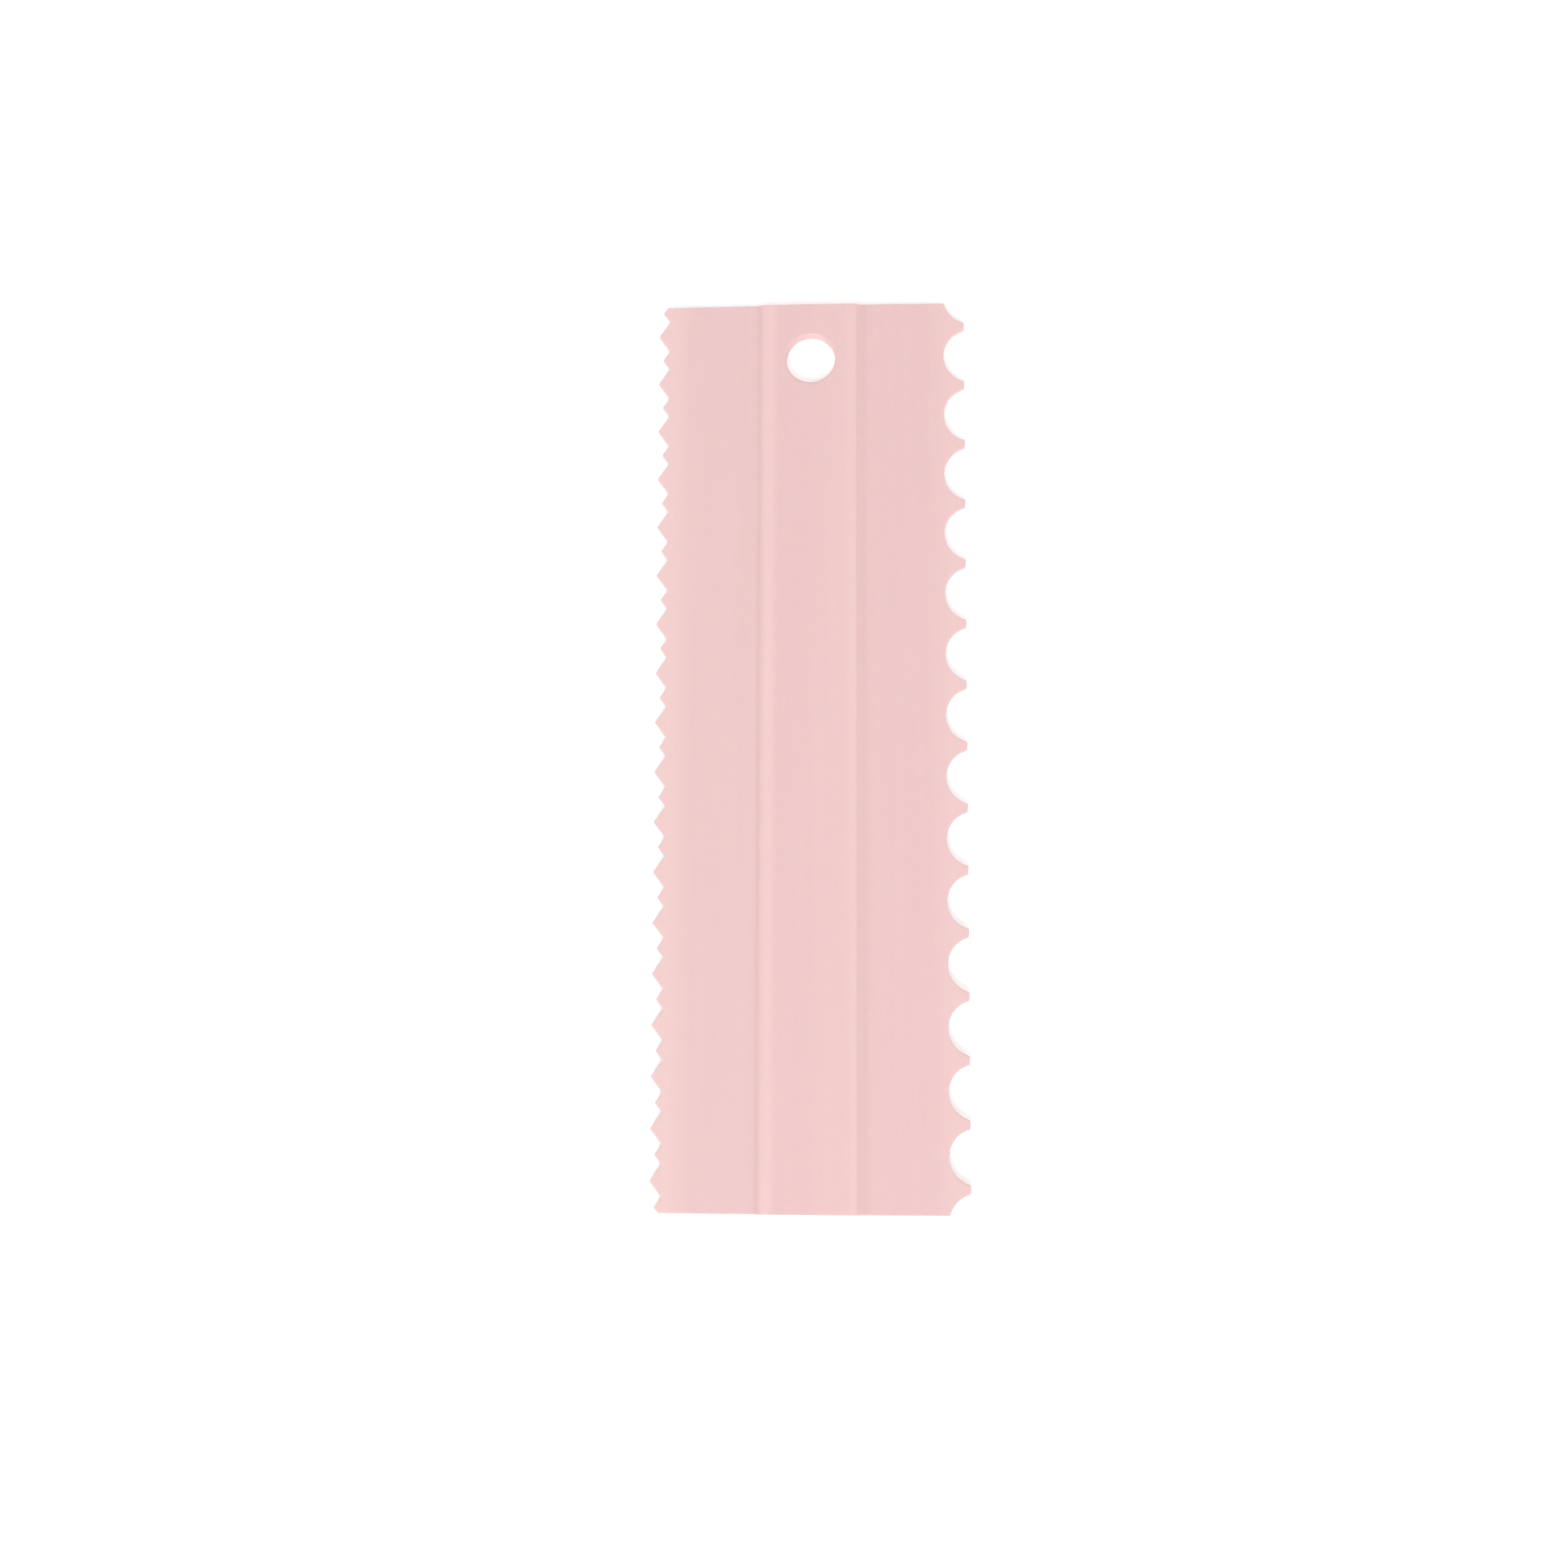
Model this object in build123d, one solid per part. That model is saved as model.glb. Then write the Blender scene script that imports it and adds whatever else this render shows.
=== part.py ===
# Icing smoother: a one-piece moulded comb with a thick centre spine, two thin wings,
# a saw-toothed edge, a scalloped edge and a hanging hole.
#
# Frame: the plate lies on the flat back of its spine. X is the width, with the saw teeth
# towards -X and the scallops towards +X. Y is the length, with the hanging hole at the +Y end.
# Z is the thickness, and z = 0 is the back of the spine. The origin is the middle of the box.

import math
import os

from build123d import *

# Plate, in millimetres
plate_length = 205.0            # end to end
plate_width = 70.0              # saw tips to scallop tips
edge_radius = 0.2               # rounding of the whole rim, front and back
end_corner_radius = 0.4         # the four corners where the ends meet the toothed edges

# Centre spine: thicker than the wings, raised on the front and on the back alike
spine_width = 22.2              # between the middles of its two steps
spine_offset = -0.5             # its centre line, measured from the plate's middle
spine_thickness = 3.0
step_run = 2.1                  # width of the soft step from the spine's face down to the wing

# Wings
wing_root_thickness = 1.5       # beside the spine
wing_edge_thickness = 0.9       # at the tips of the teeth

# Saw edge: large and small teeth in turn, with all flanks at the same slope
small_tooth_count = 19          # with one large tooth between each two
large_tooth_depth = 2.6         # sharp tip to sharp root
small_tooth_depth = 1.6
saw_end_margin = 1.3            # each end to the tip of the small tooth that it cuts
saw_tip_radius = 0.3
saw_root_radius = 0.25

# Scalloped edge: blunt tips between round hollows, with part of a hollow at each end
scallop_tip_count = 15
scallop_tip_width = 1.95        # before its corners are rounded
scallop_depth = 4.7             # tip line to the bottom of a hollow
scallop_end_margin = 5.55       # each end to the middle of the nearest tip
scallop_tip_radius = 0.5

# Hanging hole
hole_diameter = 11.2
hole_from_end = 12.9            # its centre, measured from the +Y end
hole_rim_radius = 0.4

# How far a cutting shape or a blank runs past what it meets
overrun = 5.0

# The most that a rounding may take of the tightest size beside it
rounding_share = 0.9

# Worked out from the sizes above
half_length = plate_length / 2
half_width = plate_width / 2
mid_height = spine_thickness / 2
blank_half_length = half_length + overrun
hole_y = half_length - hole_from_end
saw_pitch = (plate_length - 2 * saw_end_margin) / (small_tooth_count - 1)
scallop_pitch = (plate_length - 2 * scallop_end_margin) / (scallop_tip_count - 1)
scallop_half_chord = (scallop_pitch - scallop_tip_width) / 2
scallop_radius = (scallop_half_chord**2 + scallop_depth**2) / (2 * scallop_depth)


def soft_step(foot, shoulder):
    """Draw the step up from a wing to the spine: a hollow arc, then a round one."""
    middle = ((foot[0] + shoulder[0]) / 2, (foot[1] + shoulder[1]) / 2)
    inwards = shoulder[0] - foot[0]
    TangentArc(foot, middle, tangent=(inwards, 0))
    TangentArc(shoulder, middle, tangent=(-inwards, 0))


def front_line(side):
    """Draw the front face from the spine out past one toothed edge, and give its two ends."""
    shoulder = (spine_offset + side * (spine_width - step_run) / 2, spine_thickness / 2)
    foot = (spine_offset + side * (spine_width + step_run) / 2, wing_root_thickness / 2)
    edge = (side * half_width, wing_edge_thickness / 2)
    slope = (foot[1] - edge[1]) / abs(foot[0] - edge[0])
    outer = (edge[0] + side * overrun, edge[1] - slope * overrun)
    outer_middle = (outer[0], 0)
    soft_step(foot, shoulder)
    Line(foot, outer)
    Line(outer, outer_middle)
    return shoulder, outer_middle


def plate_blank():
    """The cross-section, drawn as its front half and mirrored to the back, run out along Y."""
    with BuildSketch(Plane.XZ) as section:
        with BuildLine():
            left_shoulder, left_middle = front_line(-1)
            right_shoulder, right_middle = front_line(1)
            Line(left_shoulder, right_shoulder)
            Line(left_middle, right_middle)
        make_face()
        mirror(about=Plane.XZ)
    return extrude(section.sketch, amount=blank_half_length, both=True)


def drill_hanging_hole(blank):
    """The blank with the hanging hole through its spine, both rims rounded."""
    drill = Cylinder(hole_diameter / 2, spine_thickness + 2 * overrun)
    drilled = blank - Pos(0, hole_y) * drill
    hole_rims = [edge for edge in drilled.edges() if edge.is_closed]
    return fillet(hole_rims, hole_rim_radius)


def saw_row():
    """Sharp corners of the saw edge from -Y to +Y, with the radius at each."""
    depths = large_tooth_depth + small_tooth_depth
    large_run = saw_pitch / 2 * large_tooth_depth / depths
    small_run = saw_pitch / 2 * small_tooth_depth / depths
    # Rounding shortens a tip by this much, and the rounded tip reaches the full width
    flank_angle = math.atan2(large_run, large_tooth_depth)
    tip_loss = saw_tip_radius / math.sin(flank_angle) - saw_tip_radius
    large_x = -half_width - tip_loss
    root_x = large_x + large_tooth_depth
    small_x = root_x - small_tooth_depth
    corners, radii = [], []
    for index in range(small_tooth_count):
        y = saw_end_margin - half_length + index * saw_pitch
        corners += [(root_x, y - small_run), (small_x, y), (root_x, y + small_run), (large_x, y + saw_pitch / 2)]
        radii += [saw_root_radius, saw_tip_radius, saw_root_radius, saw_tip_radius]
    # The row ends at a small tooth, as it begins
    return corners[:-1], radii[:-1]


def saw_side():
    """The plate's left part out to the saw edge, longer than the plate at both ends."""
    corners, radii = saw_row()
    root_x = corners[0][0]
    first = (root_x, -blank_half_length)
    last = (root_x, blank_half_length)
    with BuildSketch() as side:
        with BuildLine():
            FilletPolyline(first, *corners, last, radius=radii)
            Polyline(last, (0, blank_half_length), (0, -blank_half_length), first)
        make_face()
    return side.sketch


def scallop_side():
    """The plate's right part out to the scalloped edge, longer than the plate at both ends."""
    centre_x = half_width - scallop_depth + scallop_radius
    with BuildSketch() as side:
        with Locations((half_width / 2, 0)):
            Rectangle(half_width, 2 * blank_half_length)
        for index in range(scallop_tip_count + 1):
            with Locations((centre_x, (index - scallop_tip_count / 2) * scallop_pitch)):
                Circle(scallop_radius, mode=Mode.SUBTRACT)
        at_tips = [vertex for vertex in side.vertices() if vertex.X > 0 and abs(vertex.Y) < half_length]
        fillet(at_tips, scallop_tip_radius)
    return side.sketch


def end_corner_size(outline):
    """The end corners' radius, kept within half of the shortest edge that meets one of them."""
    def meets_end(edge):
        return any(math.isclose(abs(point.Y), half_length) for point in (edge @ 0, edge @ 1))

    shortest = min(edge.length for edge in outline.edges() if meets_end(edge))
    return min(end_corner_radius, shortest / 2)


def plate_outline():
    """The outline from the front: both toothed edges, cut to length, with rounded end corners."""
    sides = saw_side() + scallop_side()
    outline = sides & Rectangle(plate_width + 2 * overrun, plate_length)
    by_length = outline.vertices().group_by(Axis.Y)
    return fillet(by_length[0] + by_length[-1], end_corner_size(outline))


def rim_edges(plate):
    """The edges where the walls of the outline meet the front and the back."""
    walls = [face for face in plate.faces() if abs(face.center().Z) < wing_edge_thickness / 4]
    upper_and_lower = [edge for wall in walls for edge in wall.edges().filter_by(Axis.Z, reverse=True)]
    # Only the hanging hole's rims are whole circles, and they are already rounded
    return [edge for edge in upper_and_lower if not edge.is_closed]


def smoother_plate():
    """The whole moulding: the drilled blank trimmed to its outline and rounded all round."""
    trim = extrude(plate_outline(), amount=spine_thickness, both=True)
    plate = drill_hanging_hole(plate_blank()) & trim
    tightest = min(wing_edge_thickness / 2, saw_tip_radius, scallop_tip_radius)
    plate = fillet(rim_edges(plate), min(edge_radius, rounding_share * tightest))
    return Pos(0, 0, mid_height) * plate


part = smoother_plate()
print(f"smoother_plate: {part.volume:.0f} cubic mm, valid: {part.is_valid}")
os.makedirs("parts", exist_ok=True)
export_step(part, "parts/smoother_plate.step")
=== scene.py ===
"""The looks of a one-piece icing smoother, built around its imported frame.

Lengths are in metres, in the frame of the CAD: X is the width, with the saw teeth towards -X and
the scallops towards +X. Y is the length, with the hanging hole near the +Y end. Z is the
thickness, and z = 0 is the flat back of the centre spine, which lies on the table.
"""

import logging
import math
from dataclasses import dataclass, field
from enum import Enum

import bmesh
import bpy
from mathutils import Matrix, Vector


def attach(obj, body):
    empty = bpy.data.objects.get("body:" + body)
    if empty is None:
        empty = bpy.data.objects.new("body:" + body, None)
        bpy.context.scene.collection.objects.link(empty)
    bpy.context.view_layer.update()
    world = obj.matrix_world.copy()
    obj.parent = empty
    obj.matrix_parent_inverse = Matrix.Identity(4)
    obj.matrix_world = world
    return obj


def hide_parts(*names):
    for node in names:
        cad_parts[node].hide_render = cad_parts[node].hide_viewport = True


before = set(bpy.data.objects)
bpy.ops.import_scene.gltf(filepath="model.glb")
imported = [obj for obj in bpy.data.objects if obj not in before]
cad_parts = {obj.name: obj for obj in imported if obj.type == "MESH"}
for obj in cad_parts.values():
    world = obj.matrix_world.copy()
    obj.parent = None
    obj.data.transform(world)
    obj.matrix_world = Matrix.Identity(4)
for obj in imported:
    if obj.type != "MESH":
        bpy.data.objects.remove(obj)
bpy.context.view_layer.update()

log = logging.getLogger("icing_smoother")

MM = 0.001
NODE = "smoother_plate"
BODY = "root"
# Two places closer than this are one place
SAME = 1e-7
# The ends of a line and of its copy meet within this
JOIN = 1e-6
# How many straight runs round one corner of the outline
CORNER_RUNS = 6

# What bmesh operators take and give: vertices, edges and faces in one list
Geometry = list[bmesh.types.BMVert | bmesh.types.BMEdge | bmesh.types.BMFace]


class Role(Enum):
    """What a lamp does for the picture."""

    KEY = "key"
    FILL = "fill"
    WINDOW = "window"


def linear(hex_colour: str) -> tuple[float, float, float, float]:
    """Turn an sRGB hex colour into the linear colour that a shader socket takes.

    Args:
        hex_colour: Six hex digits, red first.

    Returns:
        Linear red, green and blue, and an alpha of 1.
    """
    parts = [int(hex_colour[at : at + 2], 16) / 255 for at in (0, 2, 4)]
    red, green, blue = (
        part / 12.92 if part <= 0.04045 else ((part + 0.055) / 1.055) ** 2.4 for part in parts
    )
    return red, green, blue, 1.0


def clear_nodes(owner: bpy.types.Material | bpy.types.World) -> bpy.types.NodeTree:
    """Give a material or the surroundings an empty node tree.

    Args:
        owner: The material or the world.

    Returns:
        Its node tree.
    """
    owner.use_nodes = True
    owner.node_tree.nodes.clear()
    return owner.node_tree


def add_node(
    tree: bpy.types.NodeTree,
    kind: str,
    links: dict[str | int, object] | None = None,
    **settings: object,
) -> bpy.types.Node:
    """Add a node, with its settings, its socket values and its incoming links.

    Args:
        tree: The node tree that the node goes into.
        kind: The node's type name.
        links: What each input socket, by name or number, is joined to or set to.
        **settings: The node's own properties.

    Returns:
        The new node.
    """
    node = tree.nodes.new(kind)
    for name, value in settings.items():
        setattr(node, name, value)
    for socket, value in (links or {}).items():
        if isinstance(value, bpy.types.NodeSocket):
            tree.links.new(value, node.inputs[socket])
        else:
            node.inputs[socket].default_value = value
    return node


def set_ramp(node: bpy.types.Node, stops: list[tuple[float, str]]) -> None:
    """Give a colour ramp its stops, whose colours ease into each other.

    Args:
        node: The colour ramp.
        stops: Places from 0 to 1, each with its sRGB hex colour.
    """
    ramp = node.color_ramp
    ramp.interpolation = "EASE"
    while len(ramp.elements) > 1:
        ramp.elements.remove(ramp.elements[-1])
    ramp.elements[0].position = stops[0][0]
    ramp.elements[0].color = linear(stops[0][1])
    for place, colour in stops[1:]:
        ramp.elements.new(place).color = linear(colour)


def seen_in_picture(tree: bpy.types.NodeTree) -> bpy.types.NodeSocket:
    """Tell what is seen in the picture from what only lights the object.

    Args:
        tree: The node tree of the table or of the surroundings.

    Returns:
        1 where it is seen straight, in a reflection or through glass, and 0 elsewhere.
    """
    path = add_node(tree, "ShaderNodeLightPath").outputs
    seen = path["Is Camera Ray"]
    for kind in ("Is Glossy Ray", "Is Transmission Ray"):
        either = add_node(tree, "ShaderNodeMath", {0: seen, 1: path[kind]}, operation="MAXIMUM")
        seen = either.outputs[0]
    return seen


def add_object(data: bpy.types.Mesh | bpy.types.Light | bpy.types.Camera) -> bpy.types.Object:
    """Put an object into the scene, with its data's name.

    Args:
        data: The object's mesh, light or camera.

    Returns:
        The new object.
    """
    item = bpy.data.objects.new(data.name, data)
    bpy.context.scene.collection.objects.link(item)
    return item


@dataclass(frozen=True)
class Section:
    """The plate's cross-section: a thick spine between two thin wings, the same on the back."""

    half_width: float = 35.0 * MM
    spine_width: float = 22.2 * MM
    spine_offset: float = -0.5 * MM
    spine_thickness: float = 3.0 * MM
    step_run: float = 2.1 * MM
    root_thickness: float = 1.5 * MM
    edge_thickness: float = 0.9 * MM
    step_columns: int = 16

    def step_middle(self, side: int) -> float:
        """Give the X of the middle of a step, for side -1 or 1."""
        return self.spine_offset + side * self.spine_width / 2

    def half_thickness(self, x: float) -> float:
        """Give the height of the front face above the plate's middle plane.

        Args:
            x: The place across the width.

        Returns:
            Half of the plate's thickness there.
        """
        side = 1 if x > self.spine_offset else -1
        inwards = (self.step_middle(side) - x) * side / (self.step_run / 2)
        root, top = self.root_thickness / 2, self.spine_thickness / 2
        if inwards >= 1:
            return top
        if inwards > -1:
            return root + (top - root) * self.soft_step(inwards)
        foot = abs(self.step_middle(side) + side * self.step_run / 2)
        out = (abs(x) - foot) / (self.half_width - foot)
        return root + (self.edge_thickness / 2 - root) * out

    def soft_step(self, inwards: float) -> float:
        """Rise from 0 to 1 as two equal arcs, a hollow one and then a round one.

        Args:
            inwards: The place on the step, from -1 at its foot to 1 at its shoulder.

        Returns:
            The share of the rise that is behind.
        """
        run, rise = self.step_run, (self.spine_thickness - self.root_thickness) / 2
        radius = (run * run + rise * rise) / (4 * rise)
        along = (1 - abs(inwards)) * run / 2
        drop = (radius - math.sqrt(radius * radius - along * along)) / rise
        return drop if inwards < 0 else 1 - drop

    def columns(self) -> list[float]:
        """List the lines along which the section bends.

        Returns:
            The X of each line.
        """
        shares = [index / self.step_columns - 0.5 for index in range(self.step_columns + 1)]
        return [
            self.step_middle(side) + share * self.step_run for side in (-1, 1) for share in shares
        ]


@dataclass(frozen=True)
class SawEdge:
    """Large and small pointed teeth in turn, with all flanks at one slope."""

    tip_line: float = -35.0 * MM
    small_count: int = 19
    large_depth: float = 2.6 * MM
    small_depth: float = 1.6 * MM
    end_margin: float = 1.3 * MM
    tip_radius: float = 0.3 * MM
    root_radius: float = 0.25 * MM
    # Teeth drawn past each end of the plate, to be cut off there
    spare_teeth: int = 1

    def draw(self, mesh: bmesh.types.BMesh, length: float) -> list[bmesh.types.BMVert]:
        """Draw the row of teeth as one line, a tooth longer than the plate at each end.

        Args:
            mesh: The mesh that the line is drawn in.
            length: The plate's length.

        Returns:
            The line's two ends.
        """
        pitch = (length - 2 * self.end_margin) / (self.small_count - 1)
        large_run = pitch / 2 * self.large_depth / (self.large_depth + self.small_depth)
        flank = math.atan2(large_run, self.large_depth)
        large_x = self.tip_line - self.tip_radius * (1 / math.sin(flank) - 1)
        root_x = large_x + self.large_depth
        small_x = root_x - self.small_depth
        small_run = pitch / 2 - large_run
        start = self.end_margin - length / 2 - self.spare_teeth * pitch
        pitches = self.small_count - 1 + 2 * self.spare_teeth
        corners = [
            (small_x, 0.0),
            (root_x, small_run),
            (large_x, pitch / 2),
            (root_x, pitch - small_run),
            (small_x, pitch),
        ]
        line = draw_line(mesh, [(x, start + y) for x, y in corners])
        repeat_along_y(mesh, line, pitch, pitches - 1)
        drawn = [vert for vert in mesh.verts if vert.co.x < 0 and len(vert.link_edges) == 2]
        roots = [vert for vert in drawn if math.isclose(vert.co.x, root_x, abs_tol=SAME)]
        tips = [vert for vert in drawn if vert not in roots]
        round_corners(mesh, tips, self.tip_radius / math.tan(flank))
        round_corners(mesh, roots, self.root_radius / math.tan(flank))
        return [vert for vert in mesh.verts if vert.co.x < 0 and len(vert.link_edges) == 1]


@dataclass(frozen=True)
class ScallopEdge:
    """Blunt tips between round hollows."""

    tip_line: float = 35.0 * MM
    tip_count: int = 15
    tip_width: float = 1.95 * MM
    depth: float = 4.7 * MM
    end_margin: float = 5.55 * MM
    tip_radius: float = 0.5 * MM
    arc_steps: int = 26

    def draw(self, mesh: bmesh.types.BMesh, length: float) -> list[bmesh.types.BMVert]:
        """Draw the row of hollows as one line, a hollow longer than the plate at each end.

        Args:
            mesh: The mesh that the line is drawn in.
            length: The plate's length.

        Returns:
            The line's two ends.
        """
        pitch = (length - 2 * self.end_margin) / (self.tip_count - 1)
        half_chord = (pitch - self.tip_width) / 2
        radius = (half_chord**2 + self.depth**2) / (2 * self.depth)
        centre_x = self.tip_line - self.depth + radius
        first = -self.tip_count / 2 * pitch
        start = mesh.verts.new((self.tip_line, first - half_chord, 0))
        reach = math.atan2(half_chord, centre_x - self.tip_line)
        bmesh.ops.spin(
            mesh,
            geom=[start],
            cent=(centre_x, first, 0),
            axis=(0, 0, -1),
            angle=2 * reach,
            steps=self.arc_steps,
        )
        far = max((vert for vert in mesh.verts if vert.co.x > 0), key=lambda vert: vert.co.y)
        tip = bmesh.ops.extrude_vert_indiv(mesh, verts=[far])
        bmesh.ops.translate(mesh, verts=tip["verts"], vec=(0, self.tip_width, 0))
        hollow = [vert for vert in mesh.verts if vert.co.x > 0]
        line = hollow + [edge for edge in mesh.edges if edge.verts[0].co.x > 0]
        repeat_along_y(mesh, line, pitch, self.tip_count)
        corners = [
            vert
            for vert in mesh.verts
            if math.isclose(vert.co.x, self.tip_line, abs_tol=SAME) and len(vert.link_edges) == 2
        ]
        corner_half_angle = (math.pi - reach) / 2
        round_corners(mesh, corners, self.tip_radius / math.tan(corner_half_angle))
        return [vert for vert in mesh.verts if vert.co.x > 0 and len(vert.link_edges) == 1]


@dataclass(frozen=True)
class HangingHole:
    """The round hole through the spine, with both of its rims rounded."""

    diameter: float = 11.2 * MM
    from_end: float = 12.9 * MM
    rim_radius: float = 0.4 * MM
    segments: int = 96
    # Length of the piece of spine that is opened and joined to the round edge
    window: float = 18.0 * MM
    # No other rim lies within this ring around the hole's wall
    clear_ring: float = 1.0 * MM


def draw_line(mesh: bmesh.types.BMesh, points: list[tuple[float, float]]) -> Geometry:
    """Draw a line of straight runs.

    Args:
        mesh: The mesh that the line is drawn in.
        points: The X and Y of its corners.

    Returns:
        The line's vertices and edges.
    """
    verts = [mesh.verts.new((x, y, 0)) for x, y in points]
    return verts + [mesh.edges.new(pair) for pair in zip(verts, verts[1:])]


def repeat_along_y(mesh: bmesh.types.BMesh, line: Geometry, pitch: float, times: int) -> None:
    """Repeat a line along Y and join each copy to the one before.

    Args:
        mesh: The mesh that holds the line.
        line: Its vertices and edges.
        pitch: The distance from one copy to the next.
        times: How many copies are added.
    """
    bmesh.ops.spin(
        mesh,
        geom=line,
        cent=(0, 0, 0),
        axis=(0, 0, 1),
        dvec=(0, pitch, 0),
        angle=0,
        steps=times,
        use_duplicate=True,
    )
    bmesh.ops.remove_doubles(mesh, verts=mesh.verts, dist=JOIN)


def round_corners(
    mesh: bmesh.types.BMesh, corners: list[bmesh.types.BMVert], reach: float
) -> None:
    """Round corners of a flat outline.

    Args:
        mesh: The mesh that holds the outline.
        corners: The corner vertices.
        reach: How far from each corner its rounding begins.
    """
    bmesh.ops.bevel(
        mesh,
        geom=corners,
        offset=reach,
        offset_type="OFFSET",
        segments=CORNER_RUNS,
        profile=0.5,
        affect="VERTICES",
        clamp_overlap=False,
        material=-1,
    )


def everything(mesh: bmesh.types.BMesh) -> Geometry:
    """Give every vertex, edge and face of a mesh."""
    return mesh.verts[:] + mesh.edges[:] + mesh.faces[:]


def face_up(mesh: bmesh.types.BMesh) -> None:
    """Turn the faces of a flat mesh over if they look down."""
    if mesh.faces[:][0].normal.z < 0:
        bmesh.ops.reverse_faces(mesh, faces=mesh.faces)


def put_in_order(mesh: bmesh.types.BMesh) -> None:
    """Number the faces by their places, as the operators leave them in another order each run.

    Args:
        mesh: The finished mesh.
    """
    by_place = sorted(mesh.faces, key=lambda face: sorted(tuple(vert.co) for vert in face.verts))
    for index, face in enumerate(by_place):
        face.index = index
    mesh.faces.sort()


@dataclass
class SmootherPlate:
    """The whole moulding, the only piece of the object."""

    length: float = 205.0 * MM
    edge_radius: float = 0.2 * MM
    # How far from each end corner its rounding begins
    end_corner_reach: float = 0.3 * MM
    # Edges that turn by more degrees than this are rims
    rim_angle: float = 60.0
    rim_segments: int = 4
    section: Section = field(default_factory=Section)
    saw: SawEdge = field(default_factory=SawEdge)
    scallops: ScallopEdge = field(default_factory=ScallopEdge)
    hole: HangingHole = field(default_factory=HangingHole)

    def build(self) -> bpy.types.Object:
        """Model the plate from its outline up.

        Returns:
            The plate's object, in its place on the table.
        """
        mesh = bmesh.new()
        self.draw_face(mesh)
        self.fold_along_columns(mesh)
        self.open_hole(mesh)
        self.thicken(mesh)
        self.round_rims(mesh)
        bmesh.ops.translate(mesh, verts=mesh.verts, vec=(0, 0, self.section.spine_thickness / 2))
        put_in_order(mesh)
        for face in mesh.faces:
            face.smooth = True
        data = bpy.data.meshes.new("moulded_smoother")
        mesh.to_mesh(data)
        mesh.free()
        plate = add_object(data)
        flats = plate.modifiers.new("even_flats", "WEIGHTED_NORMAL")
        flats.mode = "FACE_AREA"
        return plate

    def hole_centre(self) -> Vector:
        """Give the middle of the hanging hole."""
        return Vector((0, self.length / 2 - self.hole.from_end, 0))

    def draw_face(self, mesh: bmesh.types.BMesh) -> None:
        """Draw the outline, fill it, cut it to length and round its end corners.

        Args:
            mesh: The mesh that is drawn in.
        """
        ends = self.saw.draw(mesh, self.length) + self.scallops.draw(mesh, self.length)
        ends.sort(key=lambda vert: vert.co.y)
        for pair in (ends[:2], ends[2:]):
            mesh.edges.new(pair)
        bmesh.ops.contextual_create(mesh, geom=mesh.edges[:])
        for end in (-1, 1):
            bmesh.ops.bisect_plane(
                mesh,
                geom=everything(mesh),
                plane_co=(0, end * self.length / 2, 0),
                plane_no=(0, end, 0),
                clear_outer=True,
            )
        face_up(mesh)
        corners = []
        for y in (-self.length / 2, self.length / 2):
            row = [vert for vert in mesh.verts if math.isclose(vert.co.y, y, abs_tol=SAME)]
            row.sort(key=lambda vert: vert.co.x)
            corners += [row[0], row[-1]]
        round_corners(mesh, corners, self.end_corner_reach)

    def fold_along_columns(self, mesh: bmesh.types.BMesh) -> None:
        """Cut the flat face along the section's bends, so that each can take its own height.

        Args:
            mesh: The mesh that holds the face.
        """
        for x in self.section.columns():
            bmesh.ops.bisect_plane(
                mesh, geom=everything(mesh), plane_co=(x, 0, 0), plane_no=(1, 0, 0)
            )

    def open_hole(self, mesh: bmesh.types.BMesh) -> None:
        """Cut a window in the spine and join its border to the round edge of the hole.

        Args:
            mesh: The mesh that holds the face.
        """
        centre = self.hole_centre()
        for side in (-1, 1):
            bmesh.ops.bisect_plane(
                mesh,
                geom=everything(mesh),
                plane_co=centre + Vector((0, side * self.hole.window / 2, 0)),
                plane_no=(0, 1, 0),
            )
        window = next(
            face for face in mesh.faces if bmesh.geometry.intersect_face_point(face, centre)
        )
        border = list(window.edges)
        bmesh.ops.delete(mesh, geom=[window], context="FACES_ONLY")
        # Each of the window's four sides meets a quarter of the circle
        cuts = self.hole.segments // 4 - 1
        parts = bmesh.ops.subdivide_edges(mesh, edges=border, cuts=cuts)
        border = [edge for edge in parts["geom_split"] if isinstance(edge, bmesh.types.BMEdge)]
        circle = bmesh.ops.create_circle(
            mesh,
            cap_ends=False,
            radius=self.hole.diameter / 2,
            segments=self.hole.segments,
            matrix=Matrix.Translation(centre),
        )
        ring = [edge for edge in mesh.edges if edge.verts[0] in circle["verts"]]
        bmesh.ops.bridge_loops(mesh, edges=border + ring)

    def thicken(self, mesh: bmesh.types.BMesh) -> None:
        """Raise the front face, run its walls down to the middle plane and mirror the half.

        Args:
            mesh: The mesh that holds the flat face.
        """
        bmesh.ops.recalc_face_normals(mesh, faces=mesh.faces)
        face_up(mesh)
        for vert in mesh.verts:
            vert.co.z = self.section.half_thickness(vert.co.x)
        outline = [edge for edge in mesh.edges if edge.is_boundary]
        walls = bmesh.ops.extrude_edge_only(mesh, edges=outline)
        for part in walls["geom"]:
            if isinstance(part, bmesh.types.BMVert):
                part.co.z = 0
        bmesh.ops.mirror(
            mesh, geom=everything(mesh), matrix=Matrix.Identity(4), merge_dist=SAME, axis="Z"
        )
        bmesh.ops.recalc_face_normals(mesh, faces=mesh.faces)

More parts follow.
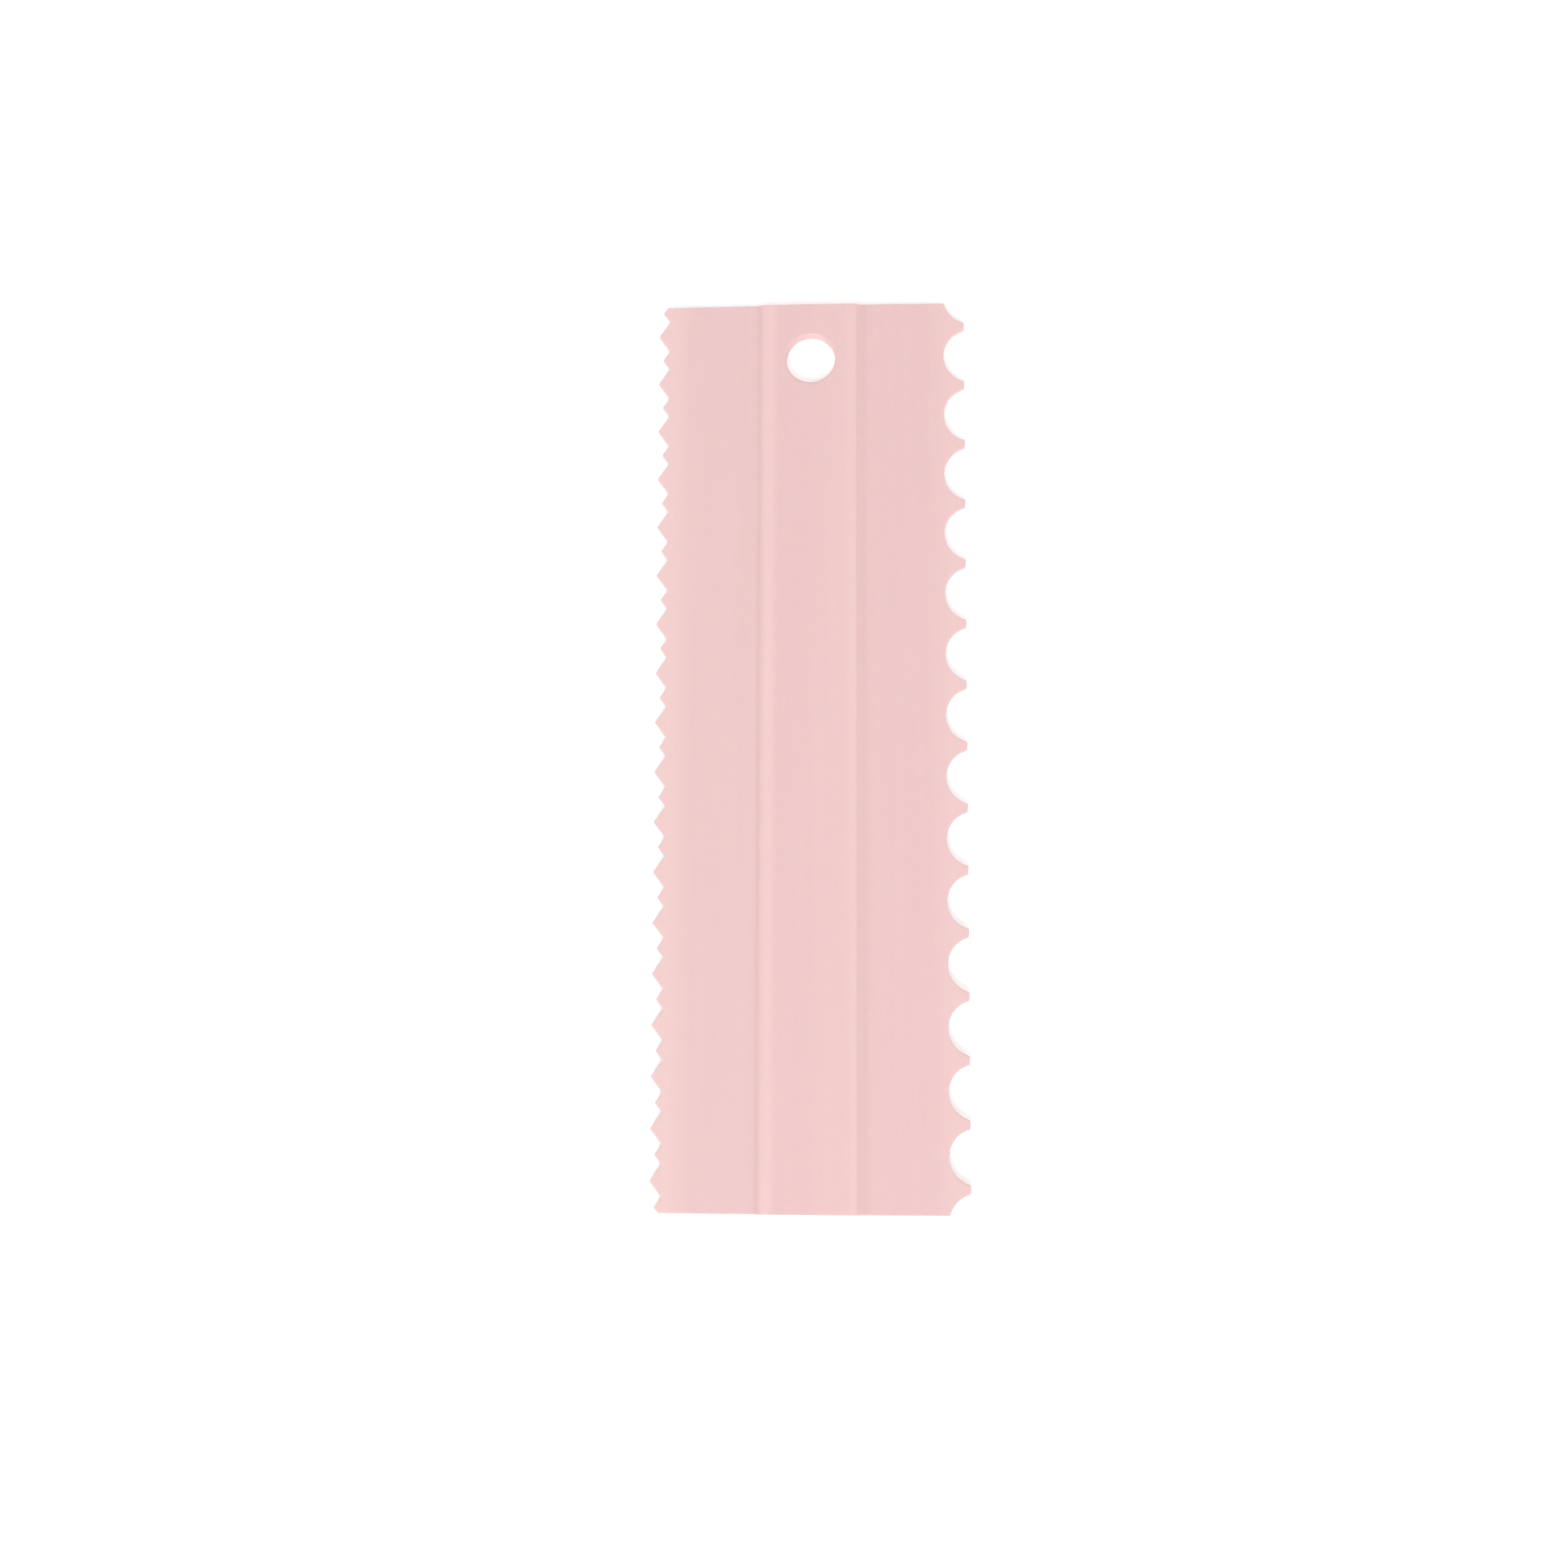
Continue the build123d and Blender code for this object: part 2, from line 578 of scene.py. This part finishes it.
    def round_rims(self, mesh: bmesh.types.BMesh) -> None:
        """Round the edges where the walls meet the front and the back.

        Args:
            mesh: The thickened mesh.
        """
        centre = self.hole_centre()
        near = self.hole.diameter / 2 + self.hole.clear_ring
        at_hole, at_outline = [], []
        for edge in mesh.edges:
            if edge.calc_face_angle(0) < math.radians(self.rim_angle):
                continue
            middle = (edge.verts[0].co + edge.verts[1].co) / 2
            rim = at_hole if (middle.xy - centre.xy).length < near else at_outline
            rim.append(edge)
        for rim, radius in ((at_hole, self.hole.rim_radius), (at_outline, self.edge_radius)):
            bmesh.ops.bevel(
                mesh,
                geom=rim,
                offset=radius,
                offset_type="OFFSET",
                segments=self.rim_segments,
                profile=0.5,
                affect="EDGES",
                clamp_overlap=False,
                material=-1,
            )

    def dress(self, plate: bpy.types.Object) -> None:
        """Give the plate its plastic, its body and its place in the record.

        Args:
            plate: The plate's object.
        """
        plate.data.materials.append(PinkPolypropylene(self.section).make())
        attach(plate, BODY)
        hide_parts(NODE)


@dataclass(frozen=True)
class SideColourAndPaintedLight:
    """The tones of one side of the plate, from its thin edge in to the face of the spine.

    The wing keeps the pink's own tone, and the others are painted light and shade: painted light at
    the thin edge, painted shade at the hollow foot of the step, a painted highlight on its round
    shoulder, and a little painted light on the face of the spine towards the scallops. The places
    of the painted shade, of the painted highlight, and of the ends of their fading are measured
    from the middle of the step, in widths of the step.
    """

    # Painted light along the thin edge
    thin_edge_painted_light: str
    wing: str
    # Painted shade at the hollow foot of the step
    foot: str
    # Painted highlight on the round shoulder of the step
    shoulder_painted_highlight: str
    # The face of the spine, a little lighter on the scallop side as painted light
    face: str
    face_from: float
    wing_from: float = 1.4
    painted_shade_at: float = 0.55
    painted_highlight_at: float = 0.5


@dataclass(frozen=True)
class PinkPolypropylene:
    """Pale pink polypropylene, injection moulded in a satin mould.

    To the eye it is soft and a little waxy: light goes some way into it, and no highlight is sharp.
    Its colour carries painted light at the thin edges, painted highlights on the rounded shoulders
    and painted shade at the hollow feet of the steps.
    The melt ran along the plate, which leaves faint long streaks in its colour and gloss.
    """

    section: Section
    # On the saw side the real shoulder lies further in than the shape's, and the painted highlight
    # and painted shade of that step follow it
    saw_side_with_painted_light: SideColourAndPaintedLight = SideColourAndPaintedLight(
        thin_edge_painted_light="f4d2d0",
        wing="efcbcb",
        foot="eec9c9",
        shoulder_painted_highlight="f7d1d1",
        face="efc9ca",
        face_from=2.2,
        wing_from=1.2,
        painted_shade_at=0.2,
        painted_highlight_at=1.0,
    )
    # Painted light and shade of the scallop side, with a darker painted shade at its foot than the
    # saw side
    scallop_side_with_painted_light: SideColourAndPaintedLight = SideColourAndPaintedLight(
        thin_edge_painted_light="f2cecd", wing="efc9ca", foot="e9c3c2", shoulder_painted_highlight="f3cece", face="f1cbcb", face_from=1.7
    )
    # The painted light of each thin edge is at its lightest over the first band and fades out by
    # the end of the second
    edge_painted_light_band: float = 2.8 * MM
    edge_painted_light_fade: float = 9.0 * MM
    roughness: float = 0.36
    # How far the roughness strays to either side
    roughness_change: float = 0.05
    ior: float = 1.49
    # A part of the light goes into the plastic and spreads there, furthest in red
    inner_light: float = 0.25
    spread: float = 0.8 * MM
    spread_shares: tuple[float, float, float] = (1.0, 0.5, 0.45)
    # The real grain is about 0.1 mm, and it is drawn coarser, so that close views show it
    grain: float = 0.35 * MM
    grain_depth: float = 0.028 * MM
    # Slow waves left by uneven cooling
    wave: float = 22.0 * MM
    wave_depth: float = 0.03 * MM
    streak_width: float = 2.4 * MM
    streak_length: float = 90.0 * MM
    # What the noise of the streaks mostly lies between, and the brightness that it turns to
    streak_range: tuple[float, float] = (0.3, 0.7)
    streak_brightness: tuple[float, float] = (0.990, 1.008)
    # What the noises of streaks and of soft patches, added up, mostly lie between
    gloss_range: tuple[float, float] = (0.6, 1.4)

    def make(self) -> bpy.types.Material:
        """Build the material.

        Returns:
            The finished material.
        """
        material = bpy.data.materials.new("pink_polypropylene_satin_with_painted_light")
        tree = clear_nodes(material)
        place = add_node(tree, "ShaderNodeTexCoord").outputs["Object"]
        streaks = self.streaks(tree, place)
        shader = add_node(
            tree,
            "ShaderNodeBsdfPrincipled",
            {
                "Base Color": self.colour(tree, place, streaks),
                "Roughness": self.gloss(tree, place, streaks),
                "Normal": self.relief(tree, place),
                "IOR": self.ior,
                "Subsurface Weight": self.inner_light,
                "Subsurface Radius": self.spread_shares,
                "Subsurface Scale": self.spread,
            },
        )
        add_node(tree, "ShaderNodeOutputMaterial", {"Surface": shader.outputs["BSDF"]})
        return material

    def streaks(
        self, tree: bpy.types.NodeTree, place: bpy.types.NodeSocket
    ) -> bpy.types.NodeSocket:
        """Draw the faint long streaks of the melt.

        Args:
            tree: The material's node tree.
            place: The point on the plate.

        Returns:
            A value that wanders about 0.5.
        """
        stretched = add_node(
            tree,
            "ShaderNodeMapping",
            {
                "Vector": place,
                "Scale": (1 / self.streak_width, 1 / self.streak_length, 1 / self.streak_width),
            },
        )
        noise = add_node(
            tree,
            "ShaderNodeTexNoise",
            {"Vector": stretched.outputs["Vector"], "Scale": 1.0, "Detail": 3.0, "Roughness": 0.6},
        )
        return noise.outputs["Fac"]

    def colour(
        self,
        tree: bpy.types.NodeTree,
        place: bpy.types.NodeSocket,
        streaks: bpy.types.NodeSocket,
    ) -> bpy.types.NodeSocket:
        """Mix the pink with painted light and shade placed by the section's shape, and with the
        streaks.

        Args:
            tree: The material's node tree.
            place: The point on the plate.
            streaks: The streaks of the melt.

        Returns:
            The colour.
        """
        split = add_node(tree, "ShaderNodeSeparateXYZ", {"Vector": place})
        across = add_node(
            tree,
            "ShaderNodeMapRange",
            {
                "Value": split.outputs["X"],
                "From Min": -self.section.half_width,
                "From Max": self.section.half_width,
            },
        )
        tone_with_painted_light = add_node(tree, "ShaderNodeValToRGB", {"Fac": across.outputs["Result"]})
        # The ramp paints light and shade into the colour across the width
        set_ramp(tone_with_painted_light, self.tone_and_painted_light_stops())
        shade = add_node(
            tree,
            "ShaderNodeMapRange",
            {
                "Value": streaks,
                "From Min": self.streak_range[0],
                "From Max": self.streak_range[1],
                "To Min": self.streak_brightness[0],
                "To Max": self.streak_brightness[1],
            },
        )
        tinted = add_node(
            tree,
            "ShaderNodeHueSaturation",
            {"Value": shade.outputs["Result"], "Color": tone_with_painted_light.outputs["Color"]},
        )
        return tinted.outputs["Color"]

    def gloss(
        self,
        tree: bpy.types.NodeTree,
        place: bpy.types.NodeSocket,
        streaks: bpy.types.NodeSocket,
    ) -> bpy.types.NodeSocket:
        """Vary the roughness with the streaks and with soft patches from handling.

        Args:
            tree: The material's node tree.
            place: The point on the plate.
            streaks: The streaks of the melt.

        Returns:
            The roughness.
        """
        patches = add_node(
            tree,
            "ShaderNodeTexNoise",
            {"Vector": place, "Scale": 1 / self.wave, "Detail": 4.0, "Roughness": 0.55},
        )
        both = add_node(
            tree, "ShaderNodeMath", {0: patches.outputs["Fac"], 1: streaks}, operation="ADD"
        )
        rough = add_node(
            tree,
            "ShaderNodeMapRange",
            {
                "Value": both.outputs[0],
                "From Min": self.gloss_range[0],
                "From Max": self.gloss_range[1],
                "To Min": self.roughness - self.roughness_change,
                "To Max": self.roughness + self.roughness_change,
            },
        )
        return rough.outputs["Result"]

    def relief(
        self, tree: bpy.types.NodeTree, place: bpy.types.NodeSocket
    ) -> bpy.types.NodeSocket:
        """Raise the fine grain of the mould on the slow waves of the plate.

        Args:
            tree: The material's node tree.
            place: The point on the plate.

        Returns:
            The bent normal.
        """
        normal = None
        for size, depth in ((self.wave, self.wave_depth), (self.grain, self.grain_depth)):
            noise = add_node(
                tree, "ShaderNodeTexNoise", {"Vector": place, "Scale": 1 / size, "Detail": 2.0}
            )
            links = {"Height": noise.outputs["Fac"], "Distance": depth, "Strength": 1.0}
            if normal:
                links["Normal"] = normal
            normal = add_node(tree, "ShaderNodeBump", links).outputs["Normal"]
        return normal

    def tone_and_painted_light_stops(self) -> list[tuple[float, str]]:
        """List the tones across the width, the pink's own and the painted light and shade, by what
        the section does there.

        Returns:
            Places from 0 at the saw edge to 1 at the scallops, each with its sRGB hex colour.
        """
        half, run = self.section.half_width, self.section.step_run
        places = []
        for side, tones in ((-1, self.saw_side_with_painted_light), (1, self.scallop_side_with_painted_light)):
            middle = self.section.step_middle(side)
            # Painted light at the thin edge, painted shade at the foot, painted highlight on the
            # shoulder
            places += [
                (side * (half - self.edge_painted_light_band), tones.thin_edge_painted_light),
                (side * (half - self.edge_painted_light_fade), tones.wing),
                (middle + side * tones.wing_from * run, tones.wing),
                (middle + side * tones.painted_shade_at * run, tones.foot),
                (middle - side * tones.painted_highlight_at * run, tones.shoulder_painted_highlight),
                (middle - side * tones.face_from * run, tones.face),
            ]
        return [(0.5 + x / (2 * half), colour) for x, colour in sorted(places)]


@dataclass(frozen=True)
class PaleTable:
    """A matt white table top, which the camera sees as plain white but for the soft shadow."""

    white: str = "f4f4f4"
    roughness: float = 0.9
    specular: float = 0.1
    # Light of its own, which only the picture shows and which keeps the shadow pale
    lift: float = 0.36

    def make(self) -> bpy.types.Material:
        """Build the material.

        Returns:
            The finished material.
        """
        material = bpy.data.materials.new("white_painted_table_matt")
        tree = clear_nodes(material)
        paint = add_node(
            tree,
            "ShaderNodeBsdfPrincipled",
            {
                "Base Color": linear(self.white),
                "Roughness": self.roughness,
                "Specular IOR Level": self.specular,
            },
        )
        strength = add_node(
            tree,
            "ShaderNodeMath",
            {0: seen_in_picture(tree), 1: self.lift},
            operation="MULTIPLY",
        )
        glow = add_node(tree, "ShaderNodeEmission", {"Strength": strength.outputs[0]})
        both = add_node(
            tree, "ShaderNodeAddShader", {0: paint.outputs["BSDF"], 1: glow.outputs["Emission"]}
        )
        add_node(tree, "ShaderNodeOutputMaterial", {"Surface": both.outputs["Shader"]})
        return material


@dataclass(frozen=True)
class Lamp:
    """One wide soft lamp, so far off that it lights the whole table alike."""

    role: Role
    bearing: float
    elevation: float
    softness: float
    strength: float

    def hang(self) -> None:
        """Put the lamp into the scene."""
        data = bpy.data.lights.new(f"{self.role.value}_lamp", "SUN")
        data.angle = math.radians(self.softness)
        data.energy = self.strength
        lamp = add_object(data)
        # A lamp shines along its -Z: it is tipped down from straight overhead, then turned
        lamp.rotation_euler = (math.radians(90 - self.elevation), 0, math.radians(self.bearing))


@dataclass(frozen=True)
class NearLamp:
    """A small soft lamp close by, which leaves the plain end of the plate a little brighter."""

    role: Role
    stand: tuple[float, float, float]
    aim: tuple[float, float, float]
    side: float
    power: float

    def hang(self) -> None:
        """Put the lamp into the scene."""
        data = bpy.data.lights.new(f"{self.role.value}_lamp", "AREA")
        data.size = self.side
        data.energy = self.power
        lamp = add_object(data)
        lamp.location = self.stand
        towards = Vector(self.aim) - Vector(self.stand)
        lamp.rotation_euler = towards.to_track_quat("-Z", "Y").to_euler()


@dataclass
class Studio:
    """The table, the lamps and the pale surroundings.

    A lamp's bearing is where it stands: 0 at the plain end, 90 at the scallops, -90 at the saw.
    """

    table_side: float = 30.0
    # The table top lies a hair below the plate, so that no two faces are in one place
    table_drop: float = 0.02 * MM
    # The surroundings are brightest beyond the plain end and dimmest beyond the hanging hole
    bright_side: float = 0.78
    dim_side: float = 0.30
    # The strength at which they are seen as white
    plain_white: float = 1.0
    lamps: tuple[Lamp | NearLamp, ...] = (
        Lamp(Role.KEY, bearing=-22.0, elevation=44.0, softness=32.0, strength=1.16),
        Lamp(Role.FILL, bearing=90.0, elevation=55.0, softness=60.0, strength=0.62),
        NearLamp(
            Role.WINDOW,
            stand=(-0.05, -0.4, 0.3),
            aim=(0.0, -0.05, 0.0),
            side=0.25,
            power=0.145,
        ),
    )

    def build(self) -> None:
        """Lay the table, hang the lamps and light the surroundings."""
        mesh = bmesh.new()
        bmesh.ops.create_grid(mesh, x_segments=1, y_segments=1, size=self.table_side / 2)
        bmesh.ops.translate(mesh, verts=mesh.verts, vec=(0, 0, -self.table_drop))
        data = bpy.data.meshes.new("table_top")
        mesh.to_mesh(data)
        mesh.free()
        data.materials.append(PaleTable().make())
        table = add_object(data)
        for lamp in self.lamps:
            lamp.hang()
        self.light_surroundings()

    def light_surroundings(self) -> None:
        """Give the world its even light, and plain white where it is seen or mirrored."""
        world = bpy.data.worlds.new("pale_studio")
        tree = clear_nodes(world)
        direction = add_node(tree, "ShaderNodeTexCoord").outputs["Object"]
        split = add_node(tree, "ShaderNodeSeparateXYZ", {"Vector": direction})
        even = add_node(
            tree,
            "ShaderNodeMapRange",
            {
                "Value": split.outputs["Y"],
                "From Min": -1.0,
                "From Max": 1.0,
                "To Min": self.bright_side,
                "To Max": self.dim_side,
            },
        )
        strength = add_node(
            tree,
            "ShaderNodeMapRange",
            {
                "Value": seen_in_picture(tree),
                "To Min": even.outputs["Result"],
                "To Max": self.plain_white,
            },
        )
        light = add_node(
            tree,
            "ShaderNodeBackground",
            {"Color": (1.0, 1.0, 1.0, 1.0), "Strength": strength.outputs["Result"]},
        )
        add_node(tree, "ShaderNodeOutputWorld", {"Surface": light.outputs["Background"]})
        bpy.context.scene.world = world


@dataclass(frozen=True)
class PhotoCamera:
    """The camera at the photograph's angle, held upright over the plate.

    Its place was worked out from the plate's outline in the photograph. The angles turn the plate
    in front of the camera: tip about X, then turn about Y, then roll about Z.
    """

    distance: float = 400.0 * MM
    tip: float = -6.74
    turn: float = -3.0
    roll: float = -0.19
    plate_right: float = 5.9 * MM
    plate_up: float = 8.27 * MM
    plate_middle_height: float = 1.5 * MM
    focal_pixels: float = 2201.9
    picture_pixels: float = 1932.0
    # In millimetres, as the camera takes its lens and its sensor
    sensor: float = 36.0
    # The camera sees what lies between these distances
    nearest: float = 10.0 * MM
    furthest: float = 20.0

    def build(self) -> None:
        """Set up the camera and make it the scene's own."""
        data = bpy.data.cameras.new("photo_camera")
        data.sensor_width = self.sensor
        data.lens = self.focal_pixels / self.picture_pixels * self.sensor
        data.clip_start = self.nearest
        data.clip_end = self.furthest
        camera = add_object(data)
        turned = (
            Matrix.Rotation(math.radians(self.tip), 4, "X")
            @ Matrix.Rotation(math.radians(self.turn), 4, "Y")
            @ Matrix.Rotation(math.radians(self.roll), 4, "Z")
        )
        away = Matrix.Translation((self.plate_right, self.plate_up, -self.distance))
        to_middle = Matrix.Translation((0, 0, -self.plate_middle_height))
        camera.matrix_world = (away @ turned @ to_middle).inverted()
        bpy.context.scene.camera = camera


def main() -> None:
    """Build the studio, the camera and the plate, and report each piece."""
    logging.basicConfig(level=logging.INFO, format="%(message)s")
    bpy.context.scene.view_settings.view_transform = "Standard"
    PhotoCamera().build()
    Studio().build()
    plate = SmootherPlate()
    piece = plate.build()
    plate.dress(piece)
    log.info("%s: %d faces", piece.name, len(piece.data.polygons))


if __name__ == "__main__":
    main()
